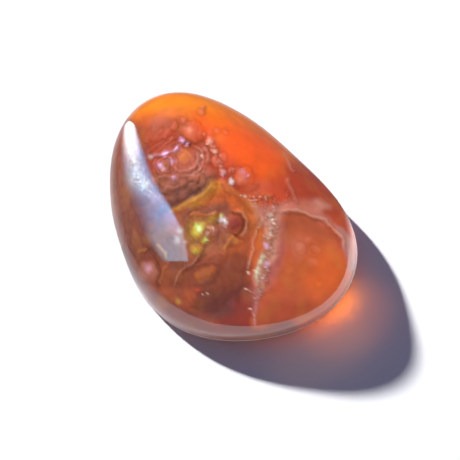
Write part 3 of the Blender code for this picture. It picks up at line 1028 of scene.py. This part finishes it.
def streakCard():
    # each grid point stands where the skin mirrors its pixel: on the reflected ray, above the floor
    along, across = (np.linspace(0, 1, count) for count in streak["cells"])
    left, right = (evenly(streak[side], along)[:, None] for side in ("left", "right"))
    x, y = (left + (right - left) * across[None, :, None]).reshape(-1, 2).T
    s, t = (grid.ravel() for grid in np.meshgrid(along, across, indexing="ij"))
    angle, down = skinAt(x, y)
    place, normal = stoneSurface(angle, down), stoneNormal(angle, down)
    ray = place - np.array(cameraPlace())
    ray /= np.linalg.norm(ray, axis=1, keepdims=True)
    facing = -(ray * normal).sum(axis=1)
    bounced = ray + 2 * facing[:, None] * normal
    toFloor = (place[:, 2] - streak["floorGap"]) / np.maximum(-bounced[:, 2], 1e-6)
    reach = np.where(bounced[:, 2] < 0, np.minimum(streak["reach"], toFloor), streak["reach"])
    light, fade = streakLight(x, y, s, t)
    light = light * fade / mirrorShare(facing)[:, None] + (1 - fade) * mirroredLight(bounced)
    stageMesh("streakCard", place + bounced * reach[:, None], streak["cells"], light)


# the pale floor round the stone, as the foot of the dome mirrors it: a ring sector with values by azimuth.
# Light times near at the stone, full light from nearEnd millimetres on, down to end past the share fade.
skirt = {
    "gap": 0.02,
    "height": 0.02,
    "cells": (140, 40),
    "azimuth": (-120, -106, -98, -90, -80, -40, 0, 30, 50, 57, 63, 69, 74),
    "reach": (2, 4.5, 8, 11, 18, 80, 80, 80, 80, 80, 80, 80, 80),
    "light": (0.5, 0.8, 1.2, 1.8, 1.9, 2.0, 2.2, 2.9, 4.1, 3.5, 1.4, 0.3, 0.13),
    "end": (0.5, 0.45, 0.4, 0.3, 0.2, 0.13, 0.13, 0.13, 0.13, 0.13, 0.13, 0.13, 0.13),
    "near": (1.0, 1.0, 1.0, 1.0, 0.9, 0.15, 0.15, 0.3, 0.4, 0.4, 0.4, 0.4, 0.4),
    "nearEnd": (1.0, 1.0, 1.0, 1.0, 1.0, 1.0, 3.0, 5.0, 5.0, 5.0, 5.0, 5.0, 5.0),
    "fade": (0.1, 0.1, 0.1, 0.2, 0.4, 0.75, 0.75, 0.75, 0.75, 0.75, 0.75, 0.75, 0.75),
    "cool": (0.93, 0.98, 1.06),
    "warm": (0.98, 0.80, 0.78),
    "warmAzimuths": (30, 60),
}


def skirtCard():
    # radius runs from the girdle to the reach, closer together near the stone; light as the note above says
    cells = skirt["cells"]
    azimuth = np.linspace(skirt["azimuth"][0], skirt["azimuth"][-1], cells[0])
    names = ("reach", "light", "end", "near", "nearEnd", "fade")
    values = (np.interp(azimuth, skirt["azimuth"], skirt[name])[:, None] for name in names)
    reach, light, end, near, nearEnd, fade = values
    angle = np.radians(azimuth)[:, None] + np.zeros(cells[1])
    share = np.linspace(0, 1, cells[1]) ** 2 + np.zeros((cells[0], 1))
    girdle = np.linalg.norm(formPoints(angle, np.ones(angle.shape))[..., :2], axis=-1)
    radius = girdle + skirt["gap"] + reach * share
    points = np.stack([radius * np.cos(angle), radius * np.sin(angle), 0 * radius + skirt["height"]], axis=-1)
    points[..., :2] -= formMiddle[:2]
    near = near + (1 - near) * softStep(0.3, nearEnd, radius - girdle)
    strength = end + (light * near - end) * softStep(1.0, fade, share)
    cool, warm = np.array(skirt["cool"]), np.array(skirt["warm"])
    colour = cool + (warm - cool) * softStep(*skirt["warmAzimuths"], azimuth)[:, None, None]
    stageMesh("skirtCard", points.reshape(-1, 3), cells, (strength[..., None] * colour).reshape(-1, 3))


streakCard()
skirtCard()
print("cards hung")


# the stage: a pale floor, a sun for the floor, two for the stone, and the sky; in metres and degrees
stage = {
    "floorSize": 2.0,
    "floorDrop": 0.00002,
    "floorColour": (0.9, 0.9, 0.9, 1.0),
    "floorSun": (7.0, (-0.873, -0.137, 0.469)),
    "stoneSun": (3.15, (-0.60, 0.10, 0.80)),
    "stoneFill": (1.2, (0.45, -0.55, 0.70)),
    "sunAngle": 2.5,
    "window": (-0.70, 0.45, 0.55),
    "openTo": 0.8,
    "brightSky": (0.165, 0.19, 0.33),
    "dimSky": (0.05, 0.045, 0.055),
    "distance": (0.82, 0.83, 0.85),
    "poolHeight": 1.2,  # millimetres
}

# warm light that the stone throws on the floor: pixel, size in millimetres, turn in degrees, colour, strength
pools = {
    "amber pool": (338, 309, 3.6, 1.2, 38, (1.0, 0.21, 0.0), 3.8),
    "orange pool": (348, 291, 2.2, 1.0, 62, (1.0, 0.26, 0.02), 2.2),
    "red pool": (314, 326, 3.4, 0.9, 22, (1.0, 0.15, 0.03), 1.7),
    "deep red pool": (262, 340, 6.0, 0.7, 4, (1.0, 0.12, 0.05), 0.9),
    "faint pool": (350, 320, 9.0, 6.0, 40, (1.0, 0.25, 0.04), 0.14),
    "rose pool": (322, 352, 10.0, 6.0, 30, (1.0, 0.55, 0.25), 0.05),
}


def makeFloor():
    # a square just under the stone, which the polish doesn't mirror
    half = stage["floorSize"] / 2
    drop = -stage["floorDrop"]
    corners = [(-half, -half, drop), (half, -half, drop), (half, half, drop), (-half, half, drop)]
    mesh = bpy.data.meshes.new("floor")
    mesh.from_pydata(corners, [], [(0, 1, 2, 3)])
    material, nodes, links = newMaterial("floor")
    setInputs(nodes["Principled BSDF"], {
        "Base Color": stage["floorColour"],
        "Roughness": 1.0,
        "Specular IOR Level": 0.0,
    })
    mesh.materials.append(material)
    obj = addObject("floor", mesh)
    obj.visible_glossy = False
    return obj


def linkedTo(name, obj):
    # a collection of one object, as a light's receivers or blockers
    group = bpy.data.collections.new(name)
    group.objects.link(obj)
    return group


def makeSun(name, receivers, blockers=None):
    # a sun in the stage's direction, with its own receivers and blockers
    strength, direction = stage[name]
    data = bpy.data.lights.new(name, "SUN")
    data.energy = strength
    data.angle = math.radians(stage["sunAngle"])
    obj = addObject(name, data)
    obj.rotation_euler = Vector(direction).to_track_quat("Z", "Y").to_euler()
    obj.light_linking.receiver_collection = receivers
    if blockers:
        obj.light_linking.blocker_collection = blockers


def makePool(name, px, py, length, width, turn, colour, strength, receivers):
    # an elliptic lamp just over the floor, facing down; its power is strength times pi times its area
    ray = pixelRay(px, py)
    place = cameraPlace() + ray * (cameraPlace().z / -ray.z)
    data = bpy.data.lights.new(name, "AREA")
    data.shape = "ELLIPSE"
    data.size, data.size_y = length * metresPerMm, width * metresPerMm
    data.color = colour
    data.energy = strength * math.pi * math.pi / 4 * data.size * data.size_y
    obj = addObject(name, data)
    obj.location = (place + Vector((0, 0, stage["poolHeight"]))) * metresPerMm
    obj.rotation_euler = (0, 0, math.radians(camera["azimuth"] + turn))
    obj.light_linking.receiver_collection = receivers
    obj.light_linking.blocker_collection = receivers
    obj.visible_camera = obj.visible_glossy = obj.visible_transmission = False


def makeWorld():
    # a pale distance for the camera, a dim sky over a pale floor for the polish, soft blue light for the rest
    world = bpy.data.worlds.new("world")
    world.use_nodes = True
    nodes, links = world.node_tree.nodes, world.node_tree.links
    place = nodes.new("ShaderNodeTexCoord")
    path = nodes.new("ShaderNodeLightPath")

    def towards(axis, low, high):
        # 0 to 1 as the direction's dot product with an axis goes from low to high
        dot = nodes.new("ShaderNodeVectorMath")
        dot.operation = "DOT_PRODUCT"
        dot.inputs[1].default_value = axis
        links.new(place.outputs["Generated"], dot.inputs[0])
        share = nodes.new("ShaderNodeMapRange")
        setInputs(share, {"From Min": low, "From Max": high})
        links.new(dot.outputs["Value"], share.inputs["Value"])
        return share.outputs["Result"]

    def blend(share, first, second):
        # from a first to a second colour, each a value or another node's output
        mix = nodes.new("ShaderNodeMix")
        mix.data_type = "RGBA"
        links.new(share, mix.inputs["Factor"])
        for name, value in (("A", first), ("B", second)):
            if isinstance(value, tuple):
                mix.inputs[name].default_value = (*value, 1.0)
            else:
                links.new(value, mix.inputs[name])
        return mix.outputs["Result"]

    openness = towards(Vector(stage["window"]).normalized(), 0.0, stage["openTo"])
    sky = blend(openness, stage["dimSky"], stage["brightSky"])
    rim = towards(rimAxis(), mirrored["from"], mirrored["to"])
    sky = blend(path.outputs["Is Glossy Ray"], sky, blend(rim, mirrored["sky"], mirrored["floor"]))
    sky = blend(path.outputs["Is Camera Ray"], sky, stage["distance"])
    links.new(sky, nodes["Background"].inputs["Color"])
    bpy.context.scene.world = world


floor = makeFloor()
floorOnly = linkedTo("floorOnly", floor)
makeSun("floorSun", floorOnly)
makeSun("stoneSun", linkedTo("layerOnly", growthLayer), linkedTo("layerShade", growthLayer))
makeSun("stoneFill", linkedTo("fillOnly", growthLayer), linkedTo("fillShade", growthLayer))
for name, values in pools.items():
    makePool(name.title().replace(" ", ""), *values, floorOnly)
makeWorld()
bpy.context.scene.view_settings.view_transform = "Standard"
print("stage set")

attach(polished, "root")
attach(growthLayer, "root")
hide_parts("fire_agate")
